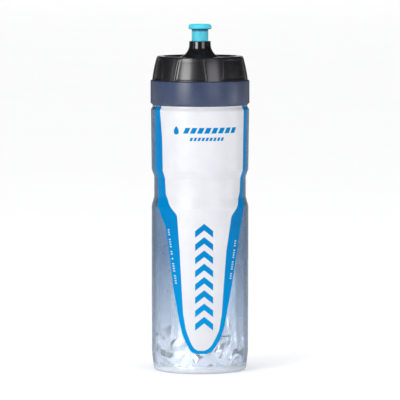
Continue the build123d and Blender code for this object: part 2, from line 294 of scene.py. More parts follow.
def new_group(name, inputs, outputs):
    """An empty shader group with named sockets: inputs (name, value), outputs (name, kind)."""
    tree = bpy.data.node_groups.new(name, "ShaderNodeTree")
    for label, value in inputs:
        kind = "NodeSocketColor" if isinstance(value, tuple) else "NodeSocketFloat"
        socket = tree.interface.new_socket(label, in_out="INPUT", socket_type=kind)
        socket.default_value = value
    for label, kind in outputs:
        tree.interface.new_socket(label, in_out="OUTPUT", socket_type="NodeSocket" + kind)
    w = Wiring(tree)
    return w, w.put("NodeGroupInput").outputs, w.put("NodeGroupOutput").inputs


def make_scuffs():
    """Fine straight rub marks, as on plastic that slides in and out of a cage."""
    w, given, out = new_group("scuffs", [("Scale", 1.0), ("Amount", 0.5)], [("Mask", "Float")])
    spot = w.put("TexCoord").outputs["Object"]
    marks = 0.0
    for turn, tilt in ((0.25, 0.1), (-0.5, 0.35), (1.25, -0.2)):
        run = w.put("Mapping", {
            "Vector": spot, "Rotation": (tilt, turn * 0.3, turn), "Scale": (900, 900, 26),
        })
        line = w.noise(run.outputs[0], given["Scale"], detail=2.0, roughness=0.45)
        marks = w.math("ADD", marks, w.scaled(line, 0.66, 0.74, 0.0, 1.0))
    patches = w.scaled(w.noise(spot, 34.0, detail=2.0), 0.45, 0.62, 0.0, 1.0)
    found = w.math("MULTIPLY", marks, patches)
    w.join(w.math("MULTIPLY", found, given["Amount"], clamp=True), out["Mask"])
    return w.tree


def make_moulded():
    """The soft mottle and fine texture of a moulded plastic."""
    w, given, out = new_group(
        "moulded", [("Grain", 3000.0), ("Flow", 60.0)],
        [("Height", "Float"), ("Mottle", "Float"), ("Streaks", "Float")],
    )
    spot = w.put("TexCoord").outputs["Object"]
    grain = w.noise(spot, given["Grain"], detail=2.0, roughness=0.6)
    swell = w.noise(spot, given["Flow"], detail=1.0)
    w.join(w.math("ADD", w.math("MULTIPLY", grain, 0.35), swell), out["Height"])
    patches = w.math("MULTIPLY", given["Flow"], 1.7)
    w.join(w.noise(spot, patches, detail=4.0), out["Mottle"])
    run = w.put("Mapping", {"Vector": spot, "Scale": (1.0, 1.0, 0.06)})
    lines = w.math("MULTIPLY", given["Flow"], 3.0)
    w.join(w.noise(run.outputs[0], lines, detail=3.0), out["Streaks"])
    return w.tree


def make_crinkles():
    """Sharp little creases of a thin film that has been scrunched and pulled out again."""
    w, given, out = new_group(
        "crinkles", [("Scale", 1.0), ("Draw", 0.35)], [("Height", "Float"), ("Crease", "Float")]
    )
    spot = w.put("TexCoord").outputs["Object"]
    bent = w.put("Mix", data_type="VECTOR")
    wander = w.put("TexNoise", {"Vector": spot, "Scale": 55.0, "Detail": 2.0})
    for number, value in ((0, 0.012), (4, spot), (5, wander.outputs["Color"])):
        w.join(value, bent.inputs[number])
    stretch = w.put("CombineXYZ", {"X": 1.0, "Y": 1.0, "Z": given["Draw"]})
    run = w.put("VectorMath", {0: bent.outputs[1], 1: stretch.outputs[0]}, operation="MULTIPLY")
    height, crease = 0.0, 0.0
    for size, share in ((42.0, 0.84), (105.0, 0.14), (270.0, 0.02)):
        facets = {"Vector": run.outputs[0], "Scale": w.math("MULTIPLY", given["Scale"], size)}
        cell = w.put("TexVoronoi", facets, feature="F1")
        edge = w.put("TexVoronoi", facets, feature="DISTANCE_TO_EDGE")
        height = w.math("ADD", height, w.math("MULTIPLY", cell.outputs["Distance"], share))
        line = w.scaled(edge.outputs["Distance"], 0.0, 0.05, share, 0.0)
        crease = w.math("ADD", crease, line)
    w.join(height, out["Height"])
    w.join(crease, out["Crease"])
    return w.tree


SCUFFS, MOULDED, CRINKLES = make_scuffs(), make_moulded(), make_crinkles()


def new_finish(name, **principled):
    """A material with a Principled shader whose plain sockets are set, and its wiring."""
    finish = bpy.data.materials.new(name)
    finish.use_nodes = True
    w = Wiring(finish.node_tree)
    shader = finish.node_tree.nodes["Principled BSDF"]
    for key, value in principled.items():
        shader.inputs[key.replace("_", " ")].default_value = value
    return finish, w, shader


def feeding(shader, socket):
    """The output that feeds a socket of a shader."""
    return shader.inputs[socket].links[0].from_socket


def bump(w, shader, height, strength, distance):
    """Relief from a height, in millimetres of depth."""
    node = w.put("Bump", {"Height": height, "Strength": strength, "Distance": distance * MM})
    w.join(node.outputs[0], shader.inputs["Normal"])


def moulded_finish(name, light, dark, gloss, satin, grain=3000.0, flow=60.0, relief=0.05,
                   scuffs=0.3, scuffed=None, **principled):
    """A moulded plastic: two shades that mottle, roughness from gloss to satin, and rub marks."""
    finish, w, shader = new_finish(name, **principled)
    skin = w.put("Group", {}, node_tree=MOULDED)
    skin.inputs["Grain"].default_value, skin.inputs["Flow"].default_value = grain, flow
    rub = w.put("Group", {}, node_tree=SCUFFS)
    rub.inputs["Amount"].default_value = scuffs
    shade = w.scaled(skin.outputs["Mottle"], 0.35, 0.65, 0.0, 1.0)
    colour = w.mix(shade, (*light, 1), (*dark, 1))
    worn = scuffed or tuple(min(1.0, c * 1.5 + 0.03) for c in light)
    colour = w.mix(w.math("MULTIPLY", rub.outputs["Mask"], 0.6), colour, (*worn, 1))
    w.join(colour, shader.inputs["Base Color"])
    rough = w.scaled(skin.outputs["Streaks"], 0.3, 0.7, gloss, satin)
    rough = w.math("ADD", rough, w.math("MULTIPLY", rub.outputs["Mask"], 0.2))
    w.join(rough, shader.inputs["Roughness"])
    bump(w, shader, skin.outputs["Height"], 0.6, relief)
    return finish, w, shader


def quiet_edges(w, shader, colour, most):
    """Lets a dark piece's gloss die away where its side, below the crest, is seen edge on."""
    facing = w.put("LayerWeight", {"Blend": 0.5}).outputs["Facing"]
    edge_on = w.scaled(facing, 0.4, 0.8, 0.0, most)
    share = w.math("MULTIPLY", edge_on, w.up(CREST_Z - 0.5 * MM, CREST_Z - 1.3 * MM))
    plain = w.put("BsdfDiffuse", {"Color": (*colour, 1)})
    both = w.put("MixShader", {0: share, 1: shader.outputs[0], 2: plain.outputs[0]})
    w.join(both.outputs[0], w.tree.nodes["Material Output"].inputs["Surface"])


def make_clear_wall():
    """Clear, faintly smoky blue plastic, deeper where it is seen edge on, its tint darkening up the
    bottle as painted shade on the film behind.
    """
    finish, w, shader = new_finish("clear_wall", IOR=1.2)
    shader.inputs["Transmission Weight"].default_value = 0.88
    skin = w.put("Group", {}, node_tree=MOULDED)
    skin.inputs["Grain"].default_value, skin.inputs["Flow"].default_value = 1500.0, 45.0
    rub = w.put("Group", {}, node_tree=SCUFFS)
    rub.inputs["Amount"].default_value = 0.4
    # painted shade: the tint darkens from the foot up, shading the film seen through the wall
    smoke_and_painted_shade = w.mix(w.up(14 * MM, 92 * MM), (0.87, 0.895, 0.93, 1), (0.37, 0.48, 0.61, 1))
    patches = w.scaled(skin.outputs["Mottle"], 0.3, 0.7, 0.0, 0.2)
    smoke_and_painted_shade = w.mix(patches, smoke_and_painted_shade, (0.60, 0.68, 0.76, 1))
    facing = w.put("LayerWeight", {"Blend": 0.5}).outputs["Facing"]
    edge_on = w.scaled(facing, 0.2, 0.7, 0.0, 1.0)
    smoke_and_painted_shade = w.mix(edge_on, smoke_and_painted_shade, (0.80, 0.86, 0.91, 1), blend="MULTIPLY")
    w.join(smoke_and_painted_shade, shader.inputs["Base Color"])
    rough = w.math("ADD", w.scaled(skin.outputs["Mottle"], 0.3, 0.7, 0.05, 0.09),
                   w.math("MULTIPLY", rub.outputs["Mask"], 0.2))
    w.join(rough, shader.inputs["Roughness"])
    bump(w, shader, skin.outputs["Height"], 0.5, 0.04)
    # thin rim of tinted plastic, with no reflections from the inner face; its tint darkens up the
    # bottle as painted shade
    rim_painted_shade = w.mix(w.up(26 * MM, 104 * MM), (0.60, 0.64, 0.70, 1), (0.40, 0.47, 0.54, 1))
    rim = w.put("MixShader", {
        0: w.scaled(facing, 0.5, 0.85, 0.0, 0.8), 1: shader.outputs[0],
        2: w.put("BsdfTransparent", {"Color": rim_painted_shade}).outputs[0],
    })
    # milky heel, where the plastic is thick
    haze = w.put("MixShader", {
        0: w.math("MULTIPLY", w.up(7 * MM, 2.5 * MM), 0.6), 1: rim.outputs[0],
        2: w.put("BsdfDiffuse", {"Color": (0.78, 0.80, 0.83, 1)}).outputs[0],
    })
    # light falls through the wall on to the film
    through = w.put("BsdfTransparent", {"Color": (0.93, 0.95, 0.97, 1)})
    shadow = w.put("LightPath").outputs["Is Shadow Ray"]
    both = w.put("MixShader", {0: shadow, 1: haze.outputs[0], 2: through.outputs[0]})
    out = finish.node_tree.nodes["Material Output"]
    w.join(both.outputs[0], out.inputs["Surface"])
    smoke = w.put("VolumeAbsorption", {"Color": (0.10, 0.32, 0.50, 1), "Density": 40.0})
    w.join(smoke.outputs[0], out.inputs["Volume"])
    return finish


def make_film():
    """Bright metallised film, hazier and brighter along its creases, with painted light paling it
    towards its foot.
    """
    finish, w, shader = new_finish("silver_film", Metallic=1.0)
    folds = w.put("Group", {}, node_tree=CRINKLES)
    skin = w.put("Group", {}, node_tree=MOULDED)
    skin.inputs["Flow"].default_value = 90.0
    shade = w.scaled(skin.outputs["Mottle"], 0.3, 0.7, 0.0, 1.0)
    colour = w.mix(shade, (0.80, 0.83, 0.88, 1), (0.90, 0.92, 0.95, 1))
    colour = w.mix(w.math("MULTIPLY", folds.outputs["Crease"], 0.4), colour, (0.98, 0.98, 1.0, 1))
    # painted light: the film's colour pales towards its foot
    colour = w.mix(w.up(46 * MM, 20 * MM), colour, (0.95, 0.96, 0.985, 1))
    w.join(colour, shader.inputs["Base Color"])
    rough = w.math("ADD", w.scaled(skin.outputs["Mottle"], 0.3, 0.7, 0.17, 0.26),
                   w.math("MULTIPLY", folds.outputs["Crease"], 0.2))
    w.join(rough, shader.inputs["Roughness"])
    crumpled = w.up(96 * MM, 36 * MM)
    depth = w.math("MULTIPLY", folds.outputs["Height"], w.scaled(crumpled, 0.0, 1.0, 0.1, 1.0))
    folds.inputs["Scale"].default_value = 0.6
    bump(w, shader, depth, 0.25, 0.45)
    return finish


def make_cap_black():
    """Black moulding: satin on the gripped side, glossy on the crest, dish and spout."""
    finish, w, shader = moulded_finish(
        "cap_black", (0.007, 0.007, 0.008), (0.011, 0.010, 0.012), 0.29, 0.35,
        grain=2600.0, flow=70.0, relief=0.02, scuffs=0.35, scuffed=(0.05, 0.05, 0.055),
    )
    polish = w.math("MULTIPLY", w.up(CREST_Z - 1.4 * MM, CREST_Z - 0.2 * MM), 0.17)
    rough = w.math("SUBTRACT", feeding(shader, "Roughness"), polish)
    w.join(rough, shader.inputs["Roughness"])
    shader.inputs["Coat Weight"].default_value = 0.6
    shader.inputs["Coat Roughness"].default_value = 0.18
    quiet_edges(w, shader, (0.007, 0.007, 0.008), 0.9)
    return finish


def make_white_ink():
    """Printed white."""
    return moulded_finish(
        "white_ink", (0.635, 0.648, 0.675), (0.605, 0.618, 0.650), 0.28, 0.36,
        grain=2400.0, flow=45.0, relief=0.03, scuffs=0.25, scuffed=(0.68, 0.69, 0.73),
    )[0]


def make_blue_ink():
    """Printed blue, made a little lighter and greener towards the foot as painted light."""
    finish, w, shader = moulded_finish(
        "blue_ink", (0.0, 0.190, 0.465), (0.0, 0.172, 0.430), 0.28, 0.36,
        grain=2400.0, flow=45.0, relief=0.03, scuffs=0.25, scuffed=(0.02, 0.27, 0.62),
        Specular_IOR_Level=0.03,
    )
    # painted light: the blue pales towards the foot
    painted_light_towards_foot = w.up(110 * MM, 40 * MM)
    colour = w.mix(painted_light_towards_foot, feeding(shader, "Base Color"), (0.0, 0.245, 0.555, 1))
    w.join(colour, shader.inputs["Base Color"])
    return finish


def make_smoke_collar():
    """Smoky blue plastic, dark enough to hide the neck behind it."""
    finish, w, shader = moulded_finish(
        "smoke_collar", (0.036, 0.053, 0.108), (0.028, 0.042, 0.088), 0.28, 0.36,
        grain=2200.0, flow=50.0, relief=0.03, scuffs=0.3, scuffed=(0.12, 0.15, 0.22),
        Specular_IOR_Level=0.4,
    )
    quiet_edges(w, shader, (0.036, 0.046, 0.080), 0.8)
    return finish


def make_sky_rubber():
    """Soft sky-blue rubber, with a line of painted shade in the crease under the lip."""
    finish, w, shader = moulded_finish(
        "sky_rubber", (0.066, 0.58, 0.72), (0.054, 0.545, 0.68), 0.42, 0.5,
        grain=4200.0, flow=120.0, relief=0.02, scuffs=0.15,
        Subsurface_Weight=0.05, Subsurface_Scale=0.001,
    )
    # painted shade: a dark blue band where the lip overhangs the shank
    from_below = w.up(LIP_LOW - 1.9 * MM, LIP_LOW - 0.9 * MM)
    from_above = w.up(LIP_LOW + 0.9 * MM, LIP_LOW + 0.3 * MM)
    crease = w.math("MULTIPLY", from_below, from_above)
    colour = w.mix(crease, feeding(shader, "Base Color"), (0.0, 0.09, 0.20, 1))
    w.join(colour, shader.inputs["Base Color"])
    return finish


CLEAR_WALL, SILVER_FILM, CAP_BLACK = make_clear_wall(), make_film(), make_cap_black()
WHITE_INK, BLUE_INK = make_white_ink(), make_blue_ink()
SMOKE_COLLAR, SKY_RUBBER = make_smoke_collar(), make_sky_rubber()
NATURAL_PLASTIC = moulded_finish(
    "natural_plastic", (0.80, 0.83, 0.85), (0.72, 0.76, 0.79), 0.3, 0.42,
    flow=55.0, relief=0.05, scuffs=0.2, scuffed=(0.9, 0.91, 0.92),
    Subsurface_Weight=0.25, Subsurface_Scale=0.002,
)[0]
SOFT_WHITE = moulded_finish(
    "soft_white", (0.80, 0.79, 0.76), (0.73, 0.72, 0.69), 0.5, 0.6,
    grain=3600.0, flow=150.0, relief=0.02, scuffs=0.1,
)[0]

# three hidden nodes keep their own shapes
for node, finish in (
    ("inner_bottle", NATURAL_PLASTIC), ("valve_core", NATURAL_PLASTIC), ("cap_gasket", SOFT_WHITE),
):
    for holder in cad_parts[node].material_slots:
        holder.material = finish

# ================================================================ outer wall


def wall_outline(inset):
    """Half outline of the wall from the middle of its base to its rim, moved in by a depth."""
    edge = inset * 0.7
    return rounded([
        (0, DOME_Z + inset, 0),
        (RING_R - DOME_RUN + edge, DOME_Z + inset, 1.2 * MM),
        (RING_R + edge, inset, 0.8 * MM),
        (HEEL_R - inset, inset, 3.2 * MM - inset),
        (BODY_R - inset, HEEL_Z, 20 * MM),
        (BODY_R - inset, LOWER_TOP, 6 * MM),
        (WAIST_R - inset, WAIST_LOW, 3 * MM),
        (WAIST_R - inset, WAIST_TOP, 3 * MM),
        (BODY_R - inset, UPPER_Z, 3 * MM),
        (UPPER_R - inset, SHOULDER_Z, 1.2 * MM),
        (NECK_R - inset, GROOVE_Z, 0.8 * MM),
        (NECK_R - inset, SHELL_TOP, 0),
    ])


OUTSIDE = wall_outline(0)
WALL_LINE = [(p.y, p.x) for p in OUTSIDE if p.x > HEEL_R - 3.3 * MM]
INNER_LINE = [(p.y, p.x) for p in wall_outline(WALL) if p.x > HEEL_R - WALL - 2.1 * MM]


def wave(angle, z):
    """How far the blown wall wanders from round, a few hundredths of a millimetre."""
    return 0.05 * MM * noise.noise(Vector((math.sin(angle), -math.cos(angle), z / BODY_R)) * 1.6)


def wall_at(angle, z):
    """Outer radius of the wall."""
    return between(WALL_LINE, z) + wave(angle, z)


def make_wall():
    """The closed outer wall, its long straight runs divided for its waves."""
    line = []
    outline = list(OUTSIDE) + list(reversed(wall_outline(WALL)))
    for here, after in zip(outline, outline[1:]):
        pieces = max(1, int((after - here).length / (4 * MM)))
        line += [here.lerp(after, k / pieces) for k in range(pieces)]
    line.append(outline[-1])
    return lathe(line, shape=lambda a, r, z: (a, r + wave(a, z) * ease(r, 20 * MM, HEEL_R), z))


add_piece("outer_wall", make_wall(), "bottle", CLEAR_WALL, ["outer_shell"])

# ================================================================ printed front

# edges of the print as (height in mm, degrees round from the front)
WHITE_LEFT = [
    (17.9, -1.2), (18.5, -4.6), (19.8, -7.2), (22.7, -10.3), (32.7, -16.6), (45.3, -20.2),
    (62.3, -21.9), (92, -24.6), (118, -28.1), (125.5, -40), (132.5, -47.6), (147.8, -49.6),
    (173, -50.0), (197, -54),
]
WHITE_RIGHT = [
    (17.9, 4.2), (18.5, 7.8), (19.8, 11.2), (22.7, 15.1), (32.7, 23.2), (45.3, 26.7),
    (62.3, 28.6), (92, 32.8), (117, 40.1), (125, 52.3), (134, 59.2), (147.8, 61.4),
    (173, 61.4), (197, 62.0),
]
BLUE_LEFT = [
    (15.5, -4.5), (16.2, -8.6), (18, -11.8), (22.3, -15.9), (29.6, -21.2), (39.2, -25.1),
    (51.7, -29.2), (65.7, -33.7), (82.7, -37.5), (96.7, -41.3), (110, -45.4), (115.7, -52.1),
    (121.4, -58.3), (128, -63.9), (147, -67.8), (197, -65.2),
]
BLUE_RIGHT = [
    (15.5, 6.5), (16.2, 10.8), (17.6, 14.6), (20, 18.2), (27.3, 25.5), (36.8, 30.6),
    (47.9, 34.3), (65.5, 40.7), (79.4, 45.6), (93.4, 50.8), (102.2, 53.8), (115, 60),
    (127, 67.6), (147, 72.2), (197, 72.4),
]
PRINT_TOP = COLLAR_LOW - 0.3 * MM

# every layer of print is divided at the same heights, so that none cuts through the next:
# bands of (from, to, step) in mm, closer together where the wall curves
ROW_BANDS = (
    (15, 40, 0.35), (40, 117, 1.1), (117, 153, 0.4), (153, 190, 1.1), (190, 200, 0.25),
)
PRINT_ROWS = [
    (start + step * k) * MM
    for start, end, step in ROW_BANDS for k in range(int((end - start) / step + 0.5))
]


def print_edge(points, z):
    """An edge's angle at a height, with its corners softened."""
    bend, straight = ease(z, 18 * MM, 24 * MM), ease(z, 30 * MM, 44 * MM)
    soft = 0.6 + 1.6 * bend * (1 - straight) + 0.6 * straight
    near = [between(points, z / MM + soft * k / 2) for k in (-2, -1, 0, 1, 2)]
    return math.radians(sum(near) / 5)


def ink_patch(point_at, across, up, layer):
    """A closed slab of ink hugging the wall. point_at(u, v) gives its angle and height."""
    outer = LAYER * layer
    verts, faces = [], []
    for depth in (0.0, INK):
        for j in range(up + 1):
            for i in range(across + 1):
                a, z = point_at(i / across, j / up)
                verts.append(at(a, wall_at(a, z) + outer - depth, z))
    row, sheet = across + 1, (across + 1) * (up + 1)
    for j in range(up):
        for i in range(across):
            k = j * row + i
            faces.append((k, k + 1, k + row + 1, k + row))
            faces.append((sheet + k, sheet + k + row, sheet + k + row + 1, sheet + k + 1))
    rim = (
        [i for i in range(across)] + [across + j * row for j in range(up)]
        + [up * row + i for i in range(across, 0, -1)] + [j * row for j in range(up, 0, -1)]
    )
    for k, here in enumerate(rim):
        after = rim[(k + 1) % len(rim)]
        faces.append((after, here, sheet + here, sheet + after))
    return verts, faces


def panel(left, right, low, high, layer):
    """A layer of print between two edges."""
    rows = [low] + [z for z in PRINT_ROWS if low + 0.1 * MM < z < high - 0.1 * MM] + [high]

    def point_at(u, v):
        z = rows[round(v * (len(rows) - 1))]
        a, b = print_edge(left, z), print_edge(right, z)
        return a + (b - a) * u, z
    return ink_patch(point_at, 72, len(rows) - 1, layer)


def flat_shape(corners, across=6):
    """A four-cornered mark: corners (right, height) in mm, anticlockwise from low left."""
    (x0, z0), (x1, z1), (x2, z2), (x3, z3) = corners

    def point_at(u, v):
        x = (x0 + (x1 - x0) * u) * (1 - v) + (x3 + (x2 - x3) * u) * v
        z = (z0 + (z1 - z0) * u) * (1 - v) + (z3 + (z2 - z3) * u) * v
        return x * MM / BODY_R, z * MM
    return ink_patch(point_at, across, 3, MARK_LAYER)


def slanted_bar(x, z, width, height, slant):
    """A leaning bar of ink, from its low left corner."""
    lean = height * slant
    return flat_shape([
        (x, z), (x + width, z), (x + width + lean, z + height), (x + lean, z + height),
    ])


def chevron(x, z, width, stroke, rise):
    """An upward chevron of ink about x."""
    half = width / 2
    arms = []
    for a, za, b, zb in ((-half, 0, 0, rise), (0, rise, half, 0)):
        arms.append(flat_shape([
            (x + a, z + za), (x + b, z + zb),
            (x + b, z + zb + stroke), (x + a, z + za + stroke),
        ], 8))
    return merged(*arms)


def drop(x, z, size):
    """A drop of ink about x, as a fan of rings."""
    def point_at(u, v):
        t = 2 * math.pi * u
        swell = size * 0.5 * (0.04 + 0.96 * v)
        right = x + swell * 0.86 * math.sin(t) * math.sin(t / 2)
        return right * MM / BODY_R, (z + swell * math.cos(t)) * MM
    return ink_patch(point_at, 36, 4, MARK_LAYER)


BLUE_FOOT, WHITE_FOOT = BLUE_LEFT[0][0] * MM, WHITE_LEFT[0][0] * MM
border = panel(BLUE_LEFT, BLUE_RIGHT, BLUE_FOOT, PRINT_TOP - 0.5 * MM, BORDER_LAYER)
add_piece("blue_border", border, "bottle", BLUE_INK)
face = panel(WHITE_LEFT, WHITE_RIGHT, WHITE_FOOT, PRINT_TOP, PANEL_LAYER)
add_piece("white_panel", face, "bottle", WHITE_INK)

# a column of chevrons, and above it a drop beside a row of bars over a row of dashes
marks = [chevron(3.1, 32.8 + 9.83 * k, 13.4, 4.9, 5.4) for k in range(8)]
marks.append(drop(-18.0, 180.8, 6.4))
marks += [slanted_bar(-12.6 + 5.2 * k, 178.5, 3.7, 4.2, 0.45) for k in range(8)]
marks += [slanted_bar(-7.8 + 2.9 * k, 173.0, 1.9, 2.5, 0.4) for k in range(9)]
add_piece("blue_marks", merged(*marks), "bottle", BLUE_INK)


def ticks(start, end, count, gap_at):
    """A column of little ticks down the border, with a diamond in the gap at one of them."""
    shapes = []
    for k in range(count):
        share = k / (count - 1)
        a = start[0] + (end[0] - start[0]) * share
        x, z = math.radians(a) * BODY_R / MM, start[1] + (end[1] - start[1]) * share
        if k == gap_at:
            shapes.append(flat_shape([
                (x, z - 0.8), (x + 0.8, z), (x, z + 0.8), (x - 0.8, z),
            ], 3))
        elif abs(k - gap_at) > 1 and k % 5 != 3:
            shapes.append(slanted_bar(x - 0.75, z - 0.5, 1.5, 0.75, 0.0))
    return shapes


left_ticks = ticks((-40.2, 107.0), (-28.8, 66.0), 24, 12)
right_ticks = ticks((46.5, 98.5), (38.8, 71.0), 17, -9)      # no gap on this side
add_piece("white_ticks", merged(*left_ticks, *right_ticks), "bottle", WHITE_INK)

# ================================================================ silver film


def zigzag(x):
    """A straight-sided wave between -1 and 1."""
    return abs((x % 1.0) - 0.5) * 4 - 1


def folds(angle, z, creases, wander=0.35):
    """Straight creases over each other: (height in mm, folds round, folds per metre up, start)."""
    spot = Vector((math.sin(angle), -math.cos(angle), z / BODY_R))
    drift = wander * noise.noise(spot * 2.3)
    total = 0.0
    for height, round_, up, start in creases:
        total += height * zigzag(round_ * angle / (2 * math.pi) + up * z + start + drift)
    return total * MM


SLEEVE_CREASES = [(0.04, 7, 5, 0.1)]
CRUMPLES = [(0.34, 4, 14, 0.2), (0.34, -6, 21, 0.7), (0.08, 11, -22, 0.4)]
BASE_CRUMPLES = [(1.1, 4, 30, 0.1), (0.9, -6, 46, 0.55), (0.25, 11, -52, 0.3)]
# soft upright pleats: (degrees round, width in degrees, height in mm)
PLEATS = [
    (-62, 7, 0.7), (-44, 6, 0.5), (38, 6, 0.45), (56, 6, 1.0), (86, 9, 0.6), (121, 10, 0.8),
    (163, 8, 0.5), (205, 11, 0.7), (248, 9, 0.8), (275, 7, 0.4),
]


def sleeve_at(angle, z):
    """Radius of the film round the inner bottle."""
    spot = Vector((math.sin(angle), -math.cos(angle), z / BODY_R))
    low = 1 - ease(z, 60 * MM, 118 * MM)
    r = SLEEVE_R + 0.25 * MM + 0.16 * MM * noise.noise(spot * 1.7) + folds(angle, z, SLEEVE_CREASES)
    patch = ease(noise.noise(spot * 1.9 + Vector((3, 1, 7))), -0.15, 0.45)
    r += low * (0.25 + 0.75 * patch) * (folds(angle, z, CRUMPLES) + 0.4 * MM)
    for centre, width, height in PLEATS:
        off = (math.degrees(angle) - centre + 180) % 360 - 180
        swell = 0.55 + 0.45 * noise.noise(Vector((centre, z * 25, 0)))
        r += height * MM * swell * math.exp(-(off / width) ** 2) * (0.35 + 0.65 * low)
    return min(max(r, SLEEVE_R - 0.2 * MM), between(INNER_LINE, z) - FILM_CLEAR)


def make_sleeve():
    """The film wound once round the inner bottle, its ends overlapping at the back."""
    columns, rows = 420, 230
    verts, faces = [], []
    for j in range(rows + 1):
        z = SLEEVE_LOW - 2 * MM + (SLEEVE_TOP - SLEEVE_LOW + 2 * MM) * j / rows
        limit = between(INNER_LINE, z) - FILM_CLEAR / 2
        for i in range(columns + 1):
            a = math.pi + (2 * math.pi + FILM_OVERLAP) * i / columns
            lift = 0.3 * MM * ease(i / columns, 0.93, 0.97)
            verts.append(at(a, min(sleeve_at(a % (2 * math.pi), z) + lift, limit), z))
    row = columns + 1
    for j in range(rows):
        for i in range(columns):
            k = j * row + i
            faces.append((k, k + 1, k + row + 1, k + row))
    return verts, faces


def make_base_film():
    """The crumpled film under the inner bottle and up round its foot."""
    flat = FILM_FLOOR + 0.25 * MM
    line = [(0, flat)] + [(r * MM, flat) for r in (4, 8, 12, 16, 20, 23, 25.5)]
    fold = ((26.8, 4.1), (28, 3.2), (29.2, 2.5), (30.4, 2.3), (31.6, 2.6), (32.3, 3.3))
    line += [(r * MM, z * MM) for r, z in fold]
    steps = 56
    line += [(32.8 * MM, (3.9 + 22.0 * k / steps) * MM) for k in range(steps + 1)]

    def crumple(a, r, z):
        if r < 26 * MM:
            spot = Vector((r * math.sin(a), r * math.cos(a), 0))
            return a, r, z + 0.14 * MM * noise.noise(spot * 260)
        spot = Vector((math.sin(a), -math.cos(a), 0))
        ragged = 1 + 0.20 * noise.noise(spot * 2.1) + 0.10 * noise.noise(spot * 6.0)
        z = FILM_FLOOR + (z - FILM_FLOOR) * ragged if z > FILM_FLOOR else z
        a += 0.05 * noise.noise(Vector((math.sin(a) * 3, -math.cos(a) * 3, z * 60)))
        depth = folds(a, z, BASE_CRUMPLES, wander=0.8) * ease(z, 2 * MM, 7 * MM)
        nearest = SLEEVE_R + 0.35 * MM if z > 6 * MM else 0
        farthest = between(INNER_LINE, z) - FILM_CLEAR if z > 3.4 * MM else r + 0.4 * MM
        return a, min(max(r + depth, nearest), farthest), z

    return lathe(line, 440, shape=crumple)


add_piece("film_sleeve", make_sleeve(), "bottle", SILVER_FILM, ["foil_sleeve"], 28)
add_piece("film_base", make_base_film(), "bottle", SILVER_FILM, ["foil_base"], 22)

# ================================================================ neck collar

# a closed outline starts and ends at the same point, half way up its bore
collar_line = rounded([
    (COLLAR_BORE, (COLLAR_LOW + COLLAR_TOP) / 2, 0),
    (COLLAR_BORE, COLLAR_LOW, 0.25 * MM),
    (COLLAR_R - 1.25 * MM, COLLAR_LOW, 0.3 * MM),
    (COLLAR_R, COLLAR_LOW + 1.25 * MM, 0.6 * MM),
    (COLLAR_R, COLLAR_TOP, 0.5 * MM),
    (DECK_BORE, COLLAR_TOP, 0.3 * MM),
    (DECK_BORE, DECK_Z, 0.1 * MM),
    (COLLAR_BORE, DECK_Z, 0.1 * MM),
    (COLLAR_BORE, (COLLAR_LOW + COLLAR_TOP) / 2, 0),
], 5)[:-1]
add_piece(
    "smoke_collar", lathe(collar_line, loop=True), "bottle",
    SMOKE_COLLAR, ["neck_collar"],
)

# ================================================================ cap

# six sunk grip faces round the side, in degrees: from one to the next, and the first one's place
GRIPS, GRIP_PITCH, GRIP_PHASE = 6, 60, -12.0
GRIP_LOW, GRIP_HIGH = 40.0, 33.5        # width of a face at its foot and at its top
FACE_HALF = 18                          # half width of a face before it is leaned
FLAT_HALF, GROOVE_AT = 14.85, 17.95     # where its slope starts and its groove runs
GRIP_DEPTH = 0.26 * MM
GRIP_LINE = 0.22 * MM                   # depth of the fine groove down each side of a face
BELLY, FLANK_STEPS = 0.38 * MM, 40      # bulge of the cap's side, and its divisions
FACE_FOOT, FACE_TOP = CAP_LOW + 0.9 * MM, CREST_Z - 1.5 * MM


def grip_columns():
    """Angles of the cap's columns, close together along the edges of the grip faces."""
    half = [0, 2, 4, 6, 8, 10, 12, 13.5, 14.5, 14.75, 14.95, 15.15, 16, 17, 17.75, 17.95,
            18.05, 18.25, 18.8, 20, 22, 24, 26, 28]
    face = [-x for x in reversed(half) if x] + half + [GRIP_PITCH / 2]
    return [math.radians(GRIP_PHASE + GRIP_PITCH * i + x) for i in range(GRIPS) for x in face]


def gripped(a, r, z):
    """Leans the cap's columns with the slanting faces, and sinks the faces."""
    if r < CREST_R - 3 * MM:
        return a, r, z
    turn = math.degrees(a) - GRIP_PHASE
    middle = GRIP_PITCH * round(turn / GRIP_PITCH)
    off = turn - middle
    share = min(max((z - FACE_FOOT) / (FACE_TOP - FACE_FOOT), 0), 1)
    half = (GRIP_LOW + (GRIP_HIGH - GRIP_LOW) * share) / 2
    if r < CAP_BORE + 0.5 * MM and z < ROOF_UNDER:
        half = FACE_HALF
    if abs(off) <= FACE_HALF:
        leaned = off * half / FACE_HALF
    else:
        rest = GRIP_PITCH / 2
        beyond = (abs(off) - FACE_HALF) * (rest - half) / (rest - FACE_HALF)
        leaned = math.copysign(half + beyond, off)
    sunk = 0.0
    if r > between(FLANK_LINE, z) - 0.2 * MM and z < CREST_Z - 0.5 * MM:
        across = min(max((FACE_HALF - abs(off)) / (FACE_HALF - FLAT_HALF), 0), 1)
        across = 0.85 * across + 0.15 * ease(across)
        above_foot = ease(z, FACE_FOOT - 0.7 * MM, FACE_FOOT + 1.0 * MM)
        up = above_foot * (1 - ease(z, FACE_TOP - 1.6 * MM, FACE_TOP + 0.3 * MM))
        sunk = GRIP_DEPTH * across * up
        sunk += GRIP_LINE * up * math.exp(-((abs(off) - GROOVE_AT) / 0.32) ** 2)
    return math.radians(GRIP_PHASE + middle + leaned), r - sunk, z


def flank_point(share):
    """A point up the cap's bulging side."""
    belly = BELLY * 4 * share * (1 - share)
    return CAP_R + (CREST_R - CAP_R) * share + belly, CAP_LOW + (CREST_Z - CAP_LOW) * share


FLANK = [flank_point(k / FLANK_STEPS) for k in range(FLANK_STEPS + 1)]
FLANK_LINE = [(z, r) for r, z in FLANK]


